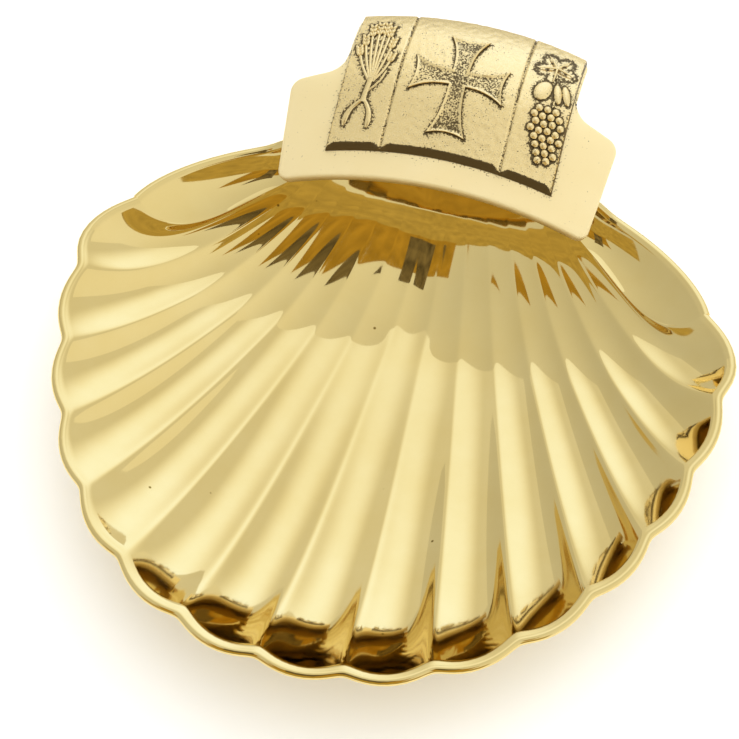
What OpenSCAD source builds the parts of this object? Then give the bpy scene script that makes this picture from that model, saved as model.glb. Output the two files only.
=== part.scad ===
// Baptismal shell: a fluted scallop bowl with a cast thumb plate brazed to the back of its rim.
// Millimetres, +Z up. The origin is on the flat ground of the belly, under the middle flute, where the
// front and back halves of the outline meet. The handle points along +Y and water pours over the front.

/* [Shell outline] */
// Half of the width across the rim, to the notches between the lobes
rim_half_width = 59; // [50:0.5:72]
// Reach of the rim in front of the deepest point, to the notches
rim_front = 75; // [62:0.5:90]
// Reach of the rim behind the deepest point, under the handle
rim_back = 34; // [28:0.5:40]
// Fullness of the front half of the outline, where 2 is an ellipse
front_fullness = 2.1; // [1.8:0.05:2.6]
// Fullness of the back half of the outline, where 2 is an ellipse
back_fullness = 1.75; // [1.5:0.05:2.2]

/* [Shell wall] */
// Depth inside, from the rim down to the ridges at the lowest place
bowl_depth = 16; // [13:0.5:22]
// Thickness of the wall
wall = 1.6; // [1.2:0.1:2.2]
// Height kept under the flutes, so that grinding the belly flat leaves enough wall
belly_spare = 0.1; // [0.05:0.05:0.3]
// Width of the rounded lip on the rim
lip_width = 1.7; // [1.2:0.1:2.4]
// How steeply the front wall gathers towards the rim
front_rise = 2.9; // [2.2:0.1:3.4]
// How steeply the side walls gather towards the rim
side_rise = 2.1; // [1.7:0.1:3]
// How steeply the back wall gathers towards the rim
back_rise = 2.9; // [2.2:0.1:3.4]

/* [Flutes] */
// Number of lobes round the rim, an odd number
lobe_count = 17; // [11:2:23]
// Direction of the last notch on each side, measured from the front
end_notch_angle = 103; // [90:1:115]
// How much the flutes widen from the front towards the sides
flute_widening = 0.14; // [0:0.01:0.3]
// How far each lobe bulges out past its two notches
lobe_bulge = 2.1; // [1:0.1:3]
// How far the two broad lobes beside the handle bulge
end_lobe_bulge = 3.2; // [1.5:0.1:5]
// How far the broad lobes lean towards the sides, where 1 is none
end_lobe_lean = 1.6; // [1:0.1:2.2]
// Greatest extra depth of a flute below its two ridges
flute_depth = 1.2; // [0.6:0.1:1.5]
// How far the outermost flutes sweep forward on their way from the hinge to the rim
flute_sweep = 4; // [0:0.5:5]
// Half of the width of the hinge, the line under the thumb plate where all the flutes start
hinge_half_width = 26; // [20:0.5:28]
// Distance from the hinge to the back of the rim
hinge_inset = 2.2; // [1.8:0.1:4]

/* [Thumb plate] */
// Thickness of the thumb plate
plate_thickness = 2.2; // [1.6:0.1:3]
// How far the plate reaches in over the bowl from the back of the rim
plate_overhang = 12.9; // [8:0.1:16]
// Gap between the wings' edges and the lip below them
wing_gap = 0.3; // [0.2:0.1:1]
// Radius of the arch across the plate, at its inner edge
arch_radius = 88; // [70:1:130]
// Slope of the plate, rising away from the bowl
plate_slope = 16; // [10:1:30]
// Straight length of the plate in the direction of the slope
plate_straight = 17; // [12:0.5:22]
// Radius of the curl at the plate's far end
curl_radius = 26; // [18:0.5:34]
// Downward slope at the end of the curl
curl_end_slope = 34; // [20:1:45]
// How much the plate's inner edge bows in at the middle
inner_bow = 1.8; // [0:0.1:4]
// Width of the wings at the inner edge
wing_width = 57.6; // [48:0.2:62]
// How much each wing flares out towards its shoulder
wing_flare = 1.9; // [0:0.1:3]
// How far behind the inner edge the wings' shoulders lie
wing_length = 20.3; // [14:0.1:24]
// How much the shoulders slope, from the tongue out to the wing tips
shoulder_drop = 2.8; // [0:0.1:5]
// Width of the tongue
tongue_width = 43; // [36:0.5:48]
// How much the end of the tongue bows out
tongue_bow = 2.5; // [0:0.1:5]
// Radius of the wings' and the tongue's corners
corner_radius = 2; // [1:0.1:3]
// Radius of the hollow corner between wing and tongue
inner_radius = 3; // [1.5:0.1:4]

/* [Relief panel] */
// How far the relief panel stands above the thumb plate, to the top of its carving
panel_raise = 1.5; // [0.8:0.1:2]
// Plain border between the plate's inner edge and the panel
panel_border = 5.6; // [3:0.1:9]
// How much the panel's lower edge bows up at the middle
panel_bow = 1.2; // [0:0.1:3]
// Plain margin between the panel's sides and the tongue's edges
panel_margin = 0.5; // [0.2:0.1:2]
// Distance between the two upright lines that part the panel's three fields
field_width = 22; // [16:0.2:28]
// Width of the dividing lines
divider_width = 0.5; // [0.3:0.1:1.4]
// Depth of the dividing lines
divider_depth = 0.3; // [0.2:0.1:0.9]

/* [Brazing] */
// Gap between the rim's lip and the plate's underside, filled by the braze
braze_gap = 0.5; // [0.3:0.1:1]
// Film of solder between two curved faces that lie on each other
film = 0.1; // [0.05:0.05:0.2]
// How far the braze fillet runs out behind the rim
braze_leg = 2; // [1:0.1:3]

/* [Hidden] */

// Smoothness of the shell: steps across a flute, and from the hinge to the rim
steps_per_flute = 8;
rows = 13;
// On the hinge, this many steps of the flutes meet one step of a broad lobe
steps_together = 4;
steps_per_end_lobe = (lobe_count - 2)*steps_per_flute/(2*steps_together);
// Points of a bowed edge that the round corner at its end takes up
corner_points = 2;
// Points round the section of the braze
seam_points_round = 4;
// Smoothness of the plate's curl and corners
curl_steps = 12;
corner_steps = 6;
// A step small enough to measure a slope with
tiny = 0.01;
// How far a sheet runs on past its trimmed outline
overrun = 4;

// Heights and sizes that follow from those above
floor_height = wall + belly_spare;
rim_height = floor_height + bowl_depth;
lip_height = 0.16*lip_width;
lip_shoulder = 0.25*lip_width;
inner_half_width = rim_half_width - lip_width;
inner_front = rim_front - lip_width;
inner_back = rim_back - lip_width;
hinge_share = 1 - hinge_inset/inner_back;
// Half of the slit between the two sides of the hinge, which the wall closes
hinge_half_gap = 0.6;
// Flutes are numbered from the front: 0 is the middle one, and halves are the ridges between them
last_notch = (lobe_count - 2)/2;
last_flute = lobe_count/2;
// The rise to the handle starts this far out towards the rim
lift_start = 0.78;
// How closely the steeper front and back walls keep to the middle flute
rise_focus = 8;
// How late on its run a flute is deepest, and sweeps forward most
flute_lag = 2.5;
sweep_lag = 2;
// How closely the sweep keeps to the outermost flutes
sweep_focus = 3;

// The wings' edges meet the back of the outline here
plate_edge_y = rim_back - plate_overhang;
seat_x = wing_width/2 + wing_flare;
seat_y = inner_back*pow(1 - pow(seat_x/inner_half_width, back_fullness), 1/back_fullness);
seat_r = arch_radius + (seat_y - plate_edge_y)*tan(plate_slope) - plate_thickness/cos(plate_slope);
// Height of the centre of the plate's arch, so that the wings just clear the lip
arch_z = rim_height + lip_height + wing_gap - sqrt(seat_r*seat_r - seat_x*seat_x);
// The far end of the plate's straight part, and its curl
straight_y = plate_edge_y + plate_straight*cos(plate_slope);
straight_r = arch_radius + plate_straight*sin(plate_slope);
curl_y = straight_y + curl_radius*sin(plate_slope);
curl_r = straight_r - curl_radius*cos(plate_slope);
plate_end_y = curl_y + curl_radius*sin(curl_end_slope);
shoulder_y = plate_edge_y + wing_length;
sweep_angle = asin((seat_x + overrun)/(arch_radius - plate_thickness));
// Tall enough to pass through the plate everywhere
cut_height = arch_z + curl_r + curl_radius + overrun;

// Distance of a plan point from the deepest point, as a share of the way to the rim
function share(x, y) =
    let (power = y < 0 ? front_fullness : back_fullness)
    let (reach = y < 0 ? inner_front : inner_back)
    pow(pow(abs(x)/inner_half_width, power) + pow(abs(y)/reach, power), 1/power);

// Smooth step from 0 to 1
function ease(t) = let (c = min(1, max(0, t))) c*c*(3 - 2*c);

// Underside of the thumb plate above a plan point, on its straight part
function plate_under(x, y) =
    let (r = arch_radius + (y - plate_edge_y)*tan(plate_slope) - plate_thickness/cos(plate_slope))
    arch_z + sqrt(max(0, r*r - x*x));

// Height of the rim's inner edge at a plan point: level, but lifted at the back to meet the thumb plate
function rim_level(x, y) =
    let (out = 1 + lip_width/max(tiny, norm([x, y])))
    let (ceiling = min(plate_under(x, y), plate_under(out*x, out*y)))
    max(rim_height, ceiling - braze_gap - lip_height);

// Inside height of the bowl without its flutes
function bowl_height(x, y) =
    let (reach = share(x, y))
    let (endways = abs(y)/max(tiny, norm([x, y])))
    let (end_rise = y < 0 ? front_rise : back_rise)
    let (rise = side_rise + (end_rise - side_rise)*pow(endways, rise_focus))
    let (lift = rim_level(x, y) - rim_height)
    floor_height + bowl_depth*pow(reach, rise) + lift*ease((reach - lift_start)/(1 - lift_start));

// Downward unit normal of the bowl at a plan point
function bowl_normal(x, y) =
    let (slope_x = (bowl_height(x + tiny, y) - bowl_height(x - tiny, y))/(2*tiny))
    let (slope_y = (bowl_height(x, y + tiny) - bowl_height(x, y - tiny))/(2*tiny))
    [slope_x, slope_y, -1]/norm([slope_x, slope_y, -1]);

// Direction of a place in the run of flutes, in degrees from the front
function flute_angle(u) =
    let (side = abs(u), t = side/last_notch)
    let (near = end_notch_angle*t*(1 - flute_widening + flute_widening*t*t))
    let (far = end_notch_angle + (180 - end_notch_angle)*pow(max(0, side - last_notch), end_lobe_lean))
    sign(u)*(side <= last_notch ? near : far);

// 1 along the middle of a flute, 0 on its ridges
function flute_share(u) = 1 - pow(2*(u - round(u)), 2);

// Inner edge of the rim at a place in the run of flutes
function rim_point(u) =
    let (angle = flute_angle(u))
    let (bulge = abs(u) > last_notch ? end_lobe_bulge : lobe_bulge)
    (1/share(sin(angle), -cos(angle)) + bulge*flute_share(u))*[sin(angle), -cos(angle)];

// How far out along the hinge a flute starts, from 0 in the middle to 1 at its ends
function hinge_part(u) =
    let (side = abs(u))
    side <= last_notch ? side/last_notch : last_flute - side;

// Start of a flute on the hinge, a narrow slit that follows the back of the rim
function hinge_point(u) =
    let (part = hinge_part(u), front = abs(u) <= last_notch)
    let (x = hinge_half_width*part)
    let (left_over = pow(hinge_share, back_fullness) - pow(x/inner_half_width, back_fullness))
    let (y = inner_back*pow(left_over, 1/back_fullness))
    let (half_gap = hinge_half_gap*sqrt(1 - part*part))
    [sign(u)*x, front ? y - half_gap : y + half_gap];

// 0 at both ends of a run from 0 to 1, and 1 where it is most, later for a greater lag
function swell(t, lag) = pow(t, lag)*(1 - t)*pow(lag + 1, lag + 1)/pow(lag, lag);

// Inside of the bowl, t from the hinge at 0 to the rim at 1, with the lobes let down to a level rim
function inside(u, t) =
    let (rim = rim_point(u))
    let (sweep = flute_sweep*pow(hinge_part(u), sweep_focus)*swell(t, sweep_lag))
    let (p = hinge_point(u)*(1 - t) + rim*t - [0, sweep])
    let (excess = bowl_height(rim.x, rim.y) - rim_level(rim.x, rim.y))
    let (sink = excess*t + flute_depth*flute_share(u)*swell(t, flute_lag))
    [p.x, p.y, bowl_height(p.x, p.y) - sink];

// Outside of the bowl under an inside point, ground flat on the belly
function outside(p) =
    let (q = p + wall*bowl_normal(p.x, p.y))
    [q.x, q.y, max(0, q.z)];

// A point of the lip: so far out from the rim's inner edge, square to the outline, and so far above it
function lip_point(p, out, up) =
    let (across = share(p.x + tiny, p.y) - share(p.x - tiny, p.y))
    let (along = share(p.x, p.y + tiny) - share(p.x, p.y - tiny))
    let (way = [across, along]/norm([across, along]))
    [p.x + out*way.x, p.y + out*way.y, p.z + up];

// Places round the rim, once round from the back
places = [
    for (i = [0:steps_per_end_lobe - 1]) -last_flute + i/steps_per_end_lobe,
    for (i = [0:(lobe_count - 2)*steps_per_flute - 1]) -last_notch + i/steps_per_flute,
    for (i = [0:steps_per_end_lobe - 1]) last_notch + i/steps_per_end_lobe
];
columns = len(places);

// Triangles between two neighbouring rings of a lofted skin
function ring_faces(ring, count) = [
    for (j = [0:count - 1])
        let (a = ring*count + j, b = ring*count + (j + 1)%count)
        each [[a, a + count, b], [b, a + count, b + count]]
];

// Triangles that close the slit of the hinge on one ring, from its middle out to each side
function hinge_faces(ring, inner) = [
    for (side = [-1, 1])
        for (j = [0:steps_per_end_lobe - 1])
            let (first = ring*columns, half = steps_together/2)
            let (back = first + (side < 0 ? j : (columns - j)%columns))
            let (next = first + (side < 0 ? j + 1 : columns - j - 1))
            let (front = [for (i = [0:steps_together]) first + columns/2 + side*(steps_together*j + i)])
            let (fan = concat(
                [for (i = [0:half - 1]) [back, front[i], front[i + 1]]],
                [[back, front[half], next]],
                [for (i = [half:steps_together - 1]) [next, front[i], front[i + 1]]]
            ))
            for (face = fan)
                if (face[0] != face[2])
                    (side > 0) == inner ? face : [face[2], face[1], face[0]]
];

// The fluted bowl: rings run from the hinge up the inside, over the lip and back down the outside
module shell_bowl() {
    inner_rings = [for (i = [0:rows]) [for (u = places) inside(u, i/rows)]];
    rim = inner_rings[rows];
    lip_rings = [
        [for (p = rim) lip_point(p, lip_shoulder, lip_height)],
        [for (p = rim) lip_point(p, lip_width - lip_shoulder, lip_height)],
        [for (p = rim) lip_point(p, lip_width, -lip_height)]
    ];
    outer_rings = [for (i = [rows:-1:0]) [for (p = inner_rings[i]) outside(p)]];
    rings = concat(inner_rings, lip_rings, outer_rings);
    skin_points = [for (ring = rings) each ring];
    last = len(rings) - 1;
    skin_faces = concat(
        [for (i = [0:last - 1]) each ring_faces(i, columns)],
        hinge_faces(0, true),
        hinge_faces(last, false)
    );
    color("gold")
        polyhedron(points = skin_points, faces = skin_faces, convexity = 10);
}

// Points along the plate's profile at a height above its top face, as radius and run
function profile_line(height) = concat(
    [[arch_radius + height/cos(plate_slope) - overrun*tan(plate_slope), overrun - plate_edge_y]],
    [
        for (i = [0:curl_steps])
            let (slope = plate_slope - (plate_slope + curl_end_slope + 2*overrun)*i/curl_steps)
            let (radius = curl_radius + height)
            [curl_r + radius*cos(slope), -(curl_y - radius*sin(slope))]
    ]
);

// A sheet between two heights over the plate's top face, following its arch and its curl
module curved_sheet(low, high) {
    top = profile_line(high);
    bottom = profile_line(low);
    outline = concat(top, [for (i = [len(bottom) - 1:-1:0]) bottom[i]]);
    translate([0, 0, arch_z])
        rotate([90, 0, 0])
            rotate([0, 0, 90 - sweep_angle])
                rotate_extrude(angle = 2*sweep_angle, $fn = 180)
                    polygon(outline);
}

// A round corner at point b between the lines to a and c
function corner(a, b, c, radius) =
    let (to_a = (a - b)/norm(a - b), to_c = (c - b)/norm(c - b))
    let (half = acos(to_a*to_c)/2)
    let (middle = b + (to_a + to_c)/norm(to_a + to_c)*radius/sin(half))
    let (from = b + to_a*radius/tan(half) - middle, to = b + to_c*radius/tan(half) - middle)
    let (turn = atan2(from.x*to.y - from.y*to.x, from*to))
    [
        for (i = [0:corner_steps])
            let (s = turn*i/corner_steps)
            middle + [from.x*cos(s) - from.y*sin(s), from.x*sin(s) + from.y*cos(s)]
    ];

// Points across an edge from one side to the other, bowed out by a given amount
function bowed_edge(half_width, y, bow) =
    [for (i = [-curl_steps:curl_steps]) [half_width*i/curl_steps, y + bow*(1 - pow(i/curl_steps, 2))]];

// Plan outline of the thumb plate
function plate_outline() =
    let (inner = [wing_width/2, plate_edge_y])
    let (tip = [wing_width/2 + wing_flare, shoulder_y - shoulder_drop/2])
    let (nook = [tongue_width/2, shoulder_y + shoulder_drop/2])
    let (end = [tongue_width/2, plate_end_y - tongue_bow])
    let (low = bowed_edge(wing_width/2, plate_edge_y, inner_bow))
    let (near = low[len(low) - 1 - corner_points])
    let (right = concat(
        corner(near, inner, tip, corner_radius),
        corner(inner, tip, nook, corner_radius),
        corner(tip, nook, end, inner_radius)
    ))
    let (top = bowed_edge(tongue_width/2, plate_end_y - tongue_bow, tongue_bow))
    concat(
        right,
        [for (i = [len(top) - 1:-1:0]) top[i]],
        [for (i = [len(right) - 1:-1:0]) [-right[i].x, right[i].y]],
        [for (i = [corner_points:len(low) - 1 - corner_points]) low[i]]
    );

// Plan outline of the relief panel
function panel_outline() =
    let (half = tongue_width/2 - panel_margin)
    let (low = bowed_edge(half, plate_edge_y + panel_border, panel_bow))
    let (top = bowed_edge(half, plate_end_y - tongue_bow - panel_margin, tongue_bow))
    concat(low, [for (i = [len(top) - 1:-1:0]) top[i]]);

module handle_plate() {
    color("goldenrod")
        intersection() {
            curved_sheet(-plate_thickness, 0);
            linear_extrude(cut_height)
                polygon(plate_outline());
        }
}

module relief_panel() {
    color("darkgoldenrod")
        difference() {
            intersection() {
                curved_sheet(film, panel_raise);
                linear_extrude(cut_height)
                    polygon(panel_outline());
            }
            for (side = [-1, 1])
                intersection() {
                    curved_sheet(panel_raise - divider_depth, panel_raise + divider_depth);
                    translate([side*field_width/2 - divider_width/2, plate_edge_y, 0])
                        cube([divider_width, plate_end_y, cut_height]);
                }
        }
}

// Brazing metal along the back of the rim, from wing to wing, up to the plate's underside
module braze_seam() {
    // The seam runs along the part of the rim that the plate covers
    seam_places = [
        for (u = places)
            let (p = rim_point(u))
            if (p.y > 0 && abs(p.x) < wing_width/2 - braze_leg) u
    ];
    left = [for (u = seam_places) if (u < 0) u];
    right = [for (u = seam_places) if (u > 0) u];
    run = concat(right, left);
    rings = [
        for (u = run)
            let (p = inside(u, 1))
            let (inner = lip_point(p, lip_shoulder, lip_height))
            let (outer = lip_point(p, lip_width - lip_shoulder, lip_height))
            let (fillet = lip_point(p, lip_width + braze_leg, 0))
            [
                inner,
                outer,
                [fillet.x, fillet.y, plate_under(fillet.x, fillet.y) - film],
                [inner.x, inner.y, plate_under(inner.x, inner.y) - film]
            ]
    ];
    seam_points = [for (ring = rings) each ring];
    last = len(rings) - 1;
    end = seam_points_round*last;
    seam_faces = concat(
        [for (i = [0:last - 1]) each ring_faces(i, seam_points_round)],
        [[0, 1, 2], [0, 2, 3]],
        [[end + 2, end + 1, end], [end + 3, end + 2, end]]
    );
    color("peru")
        polyhedron(points = seam_points, faces = seam_faces, convexity = 4);
}

shell_bowl();
handle_plate();
relief_panel();
braze_seam();
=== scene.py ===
# %% [markdown]
# A baptismal shell is a brass scoop in the form of a scallop. A fluted bowl takes up the water, and a
# cast thumb plate, brazed to the back of its rim, is held between thumb and fingers. This lesson keeps
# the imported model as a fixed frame, and gives every piece a finer mesh and the finish of the real metal.

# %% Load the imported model
import math

import bmesh
import bpy
from mathutils import Matrix, Vector, kdtree, noise


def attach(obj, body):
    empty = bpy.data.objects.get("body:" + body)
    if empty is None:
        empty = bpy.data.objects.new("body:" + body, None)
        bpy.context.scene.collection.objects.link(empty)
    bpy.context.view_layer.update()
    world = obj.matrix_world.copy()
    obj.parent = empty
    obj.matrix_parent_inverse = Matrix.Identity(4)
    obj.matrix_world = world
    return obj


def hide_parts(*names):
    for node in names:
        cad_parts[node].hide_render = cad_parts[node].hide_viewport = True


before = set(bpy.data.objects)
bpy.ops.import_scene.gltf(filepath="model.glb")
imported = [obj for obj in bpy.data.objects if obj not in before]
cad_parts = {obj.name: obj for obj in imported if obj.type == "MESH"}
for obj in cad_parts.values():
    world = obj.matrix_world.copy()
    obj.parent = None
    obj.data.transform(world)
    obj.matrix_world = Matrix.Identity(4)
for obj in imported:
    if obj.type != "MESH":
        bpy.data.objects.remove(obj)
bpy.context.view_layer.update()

MM = 0.001
print("nodes", sorted(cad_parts))

# %% [markdown]
# The scallop follows rules, so its sizes come first, in millimetres, as in the part's own source. The
# outline is two halves of a superellipse, the depth grows with a power of the distance from the lowest
# place, and the flutes are numbered from the front: 0 is the middle one and halves are the ridges.

# %% Sizes of the shell
RIM_HALF_WIDTH = 59.0
RIM_FRONT = 75.0
RIM_BACK = 34.0
FRONT_FULLNESS = 2.1
BACK_FULLNESS = 1.75
BOWL_DEPTH = 16.0
WALL = 1.6
BELLY_SPARE = 0.1
LIP_WIDTH = 1.7
FRONT_RISE = 2.9
SIDE_RISE = 2.1
BACK_RISE = 2.9
RISE_FOCUS = 8
LOBES = 17
END_NOTCH_ANGLE = 103.0
FLUTE_WIDENING = 0.14
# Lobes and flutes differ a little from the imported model's, so that the smooth mesh stays in its box and
# mirrors as the real shell does
LOBE_BULGE = 1.98
END_LOBE_BULGE = 3.2
END_LOBE_LEAN = 1.6
FLUTE_DEPTH = 1.35
MIDDLE_LAG = 4.5
SIDE_LAG = 2.9
SIDE_FLUTE = 4
FLUTE_SWEEP = 4.0
SWEEP_LAG = 2
SWEEP_FOCUS = 3
HINGE_HALF_WIDTH = 26.0
HINGE_INSET = 2.2
LIFT_START = 0.78
LIFT_BLEND = 0.8
LIP_RISE = 0.16

INNER_HALF_WIDTH = RIM_HALF_WIDTH - LIP_WIDTH
INNER_FRONT = RIM_FRONT - LIP_WIDTH
INNER_BACK = RIM_BACK - LIP_WIDTH
FLOOR_HEIGHT = WALL + BELLY_SPARE
RIM_HEIGHT = FLOOR_HEIGHT + BOWL_DEPTH
LIP_HEIGHT = LIP_RISE*LIP_WIDTH
HINGE_SHARE = 1 - HINGE_INSET/INNER_BACK
LAST_NOTCH = (LOBES - 2)/2
LAST_FLUTE = LOBES/2
print("rim stands", RIM_HEIGHT, "mm above the table")

# %% Sizes of the thumb plate
PLATE_THICKNESS = 2.2
PLATE_OVERHANG = 12.9
WING_GAP = 0.3
ARCH_RADIUS = 88.0
PLATE_SLOPE = math.radians(16)
PLATE_STRAIGHT = 17.0
CURL_RADIUS = 26.0
CURL_END_SLOPE = math.radians(34)
INNER_BOW = 1.8
WING_WIDTH = 57.6
WING_FLARE = 1.9
WING_LENGTH = 20.3
SHOULDER_DROP = 2.8
TONGUE_WIDTH = 43.0
TONGUE_BOW = 2.5
BRAZE_GAP = 0.5
FILM = 0.1

PLATE_EDGE_Y = RIM_BACK - PLATE_OVERHANG
SEAT_X = WING_WIDTH/2 + WING_FLARE
SEAT_Y = INNER_BACK*(1 - (SEAT_X/INNER_HALF_WIDTH)**BACK_FULLNESS)**(1/BACK_FULLNESS)
UNDER_DROP = PLATE_THICKNESS/math.cos(PLATE_SLOPE)
SEAT_R = ARCH_RADIUS + (SEAT_Y - PLATE_EDGE_Y)*math.tan(PLATE_SLOPE) - UNDER_DROP
ARCH_Z = RIM_HEIGHT + LIP_HEIGHT + WING_GAP - math.sqrt(SEAT_R**2 - SEAT_X**2)
STRAIGHT_Y = PLATE_EDGE_Y + PLATE_STRAIGHT*math.cos(PLATE_SLOPE)
STRAIGHT_R = ARCH_RADIUS + PLATE_STRAIGHT*math.sin(PLATE_SLOPE)
CURL_Y = STRAIGHT_Y + CURL_RADIUS*math.sin(PLATE_SLOPE)
CURL_R = STRAIGHT_R - CURL_RADIUS*math.cos(PLATE_SLOPE)
PLATE_END_Y = CURL_Y + CURL_RADIUS*math.sin(CURL_END_SLOPE)
SHOULDER_Y = PLATE_EDGE_Y + WING_LENGTH
print("inner edge of the plate is", round(ARCH_Z + ARCH_RADIUS, 2), "mm above the table")

# %% [markdown]
# The camera stands at the photograph's viewing angle, far away with a long lens, as for a catalogue
# picture. Its distance and lens were worked out from the notches of the rim.

# %% Camera
CAMERA_AZIMUTH = math.radians(14)
CAMERA_ELEVATION = math.radians(57)
CAMERA_DISTANCE = 900*MM
PIXELS_PER_RADIAN = 5065
PICTURE_PIXELS = 739
AIM = Vector((-2.8, -13.0, 17.4))*MM

to_camera = Vector((
    math.sin(CAMERA_AZIMUTH)*math.cos(CAMERA_ELEVATION),
    -math.cos(CAMERA_AZIMUTH)*math.cos(CAMERA_ELEVATION),
    math.sin(CAMERA_ELEVATION),
))
scene = bpy.context.scene
camera = bpy.data.objects.new("camera", bpy.data.cameras.new("camera"))
camera.location = AIM + CAMERA_DISTANCE*to_camera
camera.rotation_euler = to_camera.to_track_quat("Z", "Y").to_euler()
camera.data.lens = camera.data.sensor_width*PIXELS_PER_RADIAN/PICTURE_PIXELS
scene.collection.objects.link(camera)
scene.camera = camera
print("lens", round(camera.data.lens, 1), "mm")

# %% [markdown]
# Every finish is a small tree of shader nodes. One function adds a node, gives it its settings and fills
# its sockets with values or with links. Another turns the hex colours of a paint chart into the linear
# values that the shaders expect.

# %% Helpers for finishes
def linear(hex_colour):
    channels = [int(hex_colour[i:i + 2], 16)/255 for i in (1, 3, 5)]
    return [c/12.92 if c <= 0.04045 else ((c + 0.055)/1.055)**2.4 for c in channels] + [1]


def put(tree, kind, sockets=None, **settings):
    node = tree.nodes.new(kind)
    for name, value in settings.items():
        setattr(node, name, value)
    for name, value in (sockets or {}).items():
        if isinstance(value, bpy.types.NodeSocket):
            tree.links.new(value, node.inputs[name])
        else:
            node.inputs[name].default_value = value
    return node


def new_finish(name):
    finish = bpy.data.materials.new(name)
    finish.use_nodes = True
    finish.node_tree.nodes.clear()
    return finish, finish.node_tree


print("brass is", [round(value, 2) for value in linear("#EBD592")], "in linear light")

# %% [markdown]
# The bowl is drawn brass, buffed on a wheel until it mirrors the room. What the eye sees of the metal
# itself is slight: a warm tint that comes and goes, hair scratches from wiping, a few pits, and a haze
# of old polish. So the colour hardly changes, and most of the work is in the roughness.

# %% Polished brass
HAZE_MM = 14
HAZE_LOW = 0.3
HAZE_HIGH = 0.7
MIRROR_ROUGHNESS = 0.03
HAZE_ROUGHNESS = 0.07
# Hair scratches are finer than this on the metal, and are drawn coarser so that they show
SCRATCH_MM = 0.25
SCRATCH_LENGTH = 30
SCRATCH_TURN = 0.5
SCRATCH_START = 0.66
SCRATCH_FULL = 0.74
SCRATCH_ROUGHNESS = 0.06
PIT_SPACING_MM = 9
PIT_MM = 0.28
PIT_CORE = 0.6
PIT_EDGE = 1.2


def polished_brass():
    finish, tree = new_finish("buffed_brass")
    place = put(tree, "ShaderNodeTexCoord").outputs["Object"]
    haze = put(tree, "ShaderNodeTexNoise",
               {"Vector": place, "Scale": 1/(HAZE_MM*MM), "Detail": 4, "Roughness": 0.6}).outputs["Fac"]
    tint = put(tree, "ShaderNodeMix", {"Factor": haze, "A": linear("#E6CC82"), "B": linear("#EFDB9C")},
               data_type="RGBA")
    streaks = put(tree, "ShaderNodeMapping",
                  {"Vector": place, "Scale": (1, 1/SCRATCH_LENGTH, 1), "Rotation": (0, 0, SCRATCH_TURN)})
    scratch = put(tree, "ShaderNodeTexNoise",
                  {"Vector": streaks.outputs["Vector"], "Scale": 1/(SCRATCH_MM*MM), "Detail": 1})
    hair = put(tree, "ShaderNodeMapRange", {"Value": scratch.outputs["Fac"], "From Min": SCRATCH_START,
                                            "From Max": SCRATCH_FULL})
    pits = put(tree, "ShaderNodeTexVoronoi", {"Vector": place, "Scale": 1/(PIT_SPACING_MM*MM)})
    pit = put(tree, "ShaderNodeMapRange",
              {"Value": pits.outputs["Distance"], "From Min": PIT_CORE*PIT_MM/PIT_SPACING_MM,
               "From Max": PIT_EDGE*PIT_MM/PIT_SPACING_MM, "To Min": 1, "To Max": 0})
    colour = put(tree, "ShaderNodeMix",
                 {"Factor": pit.outputs["Result"], "A": tint.outputs["Result"], "B": linear("#8E7434")},
                 data_type="RGBA")
    dull = put(tree, "ShaderNodeMapRange", {"Value": haze, "From Min": HAZE_LOW, "From Max": HAZE_HIGH,
                                            "To Min": MIRROR_ROUGHNESS, "To Max": HAZE_ROUGHNESS})
    rough = put(tree, "ShaderNodeMath",
                {0: hair.outputs["Result"], 1: SCRATCH_ROUGHNESS, 2: dull.outputs["Result"]},
                operation="MULTIPLY_ADD")
    metal = put(tree, "ShaderNodeBsdfPrincipled",
                {"Base Color": colour.outputs["Result"], "Metallic": 1, "Roughness": rough.outputs[0]})
    put(tree, "ShaderNodeOutputMaterial", {"Surface": metal.outputs["BSDF"]})
    return finish


buffed = polished_brass()
print("made", buffed.name)

# %% [markdown]
# The thumb plate is a casting, filed and rubbed with fine emery but not mirror-bright. It looks creamy
# because its surface spreads the light, with very fine rubbing lines across it and a few specks where
# polish has dried in the pores. Nobody rubs the middle of the underside, which keeps the bare skin of the
# foundry, painted paler than it is as painted fill light for the light that the bowl throws up under the
# plate. Two attributes of the mesh, sheltered and underside, say where the specks crowd and where the bare
# skin with its painted fill light is.

# %% Satin brass
# Rubbing lines are finer than this on the metal, and are drawn coarser so that they show
RUB_MM = 0.2
RUB_LENGTH = 40
RUB_DEPTH_MM = 0.02
RUB_BUMP = 0.05
RUBBED_ROUGHNESS = 0.5
DULL_ROUGHNESS = 0.62
PORE_MM = 0.35
PORE_START = 0.73
PORE_FULL = 0.78
PORE_DARKNESS = 0.85
SHELTER_WEIGHT = 0.17
CLOUD_MM = 9
SKIN_MM = 0.6
# Rubbed brass under old wax spreads part of the light as a matt surface does
SATIN_METALLIC = 0.6


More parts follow.
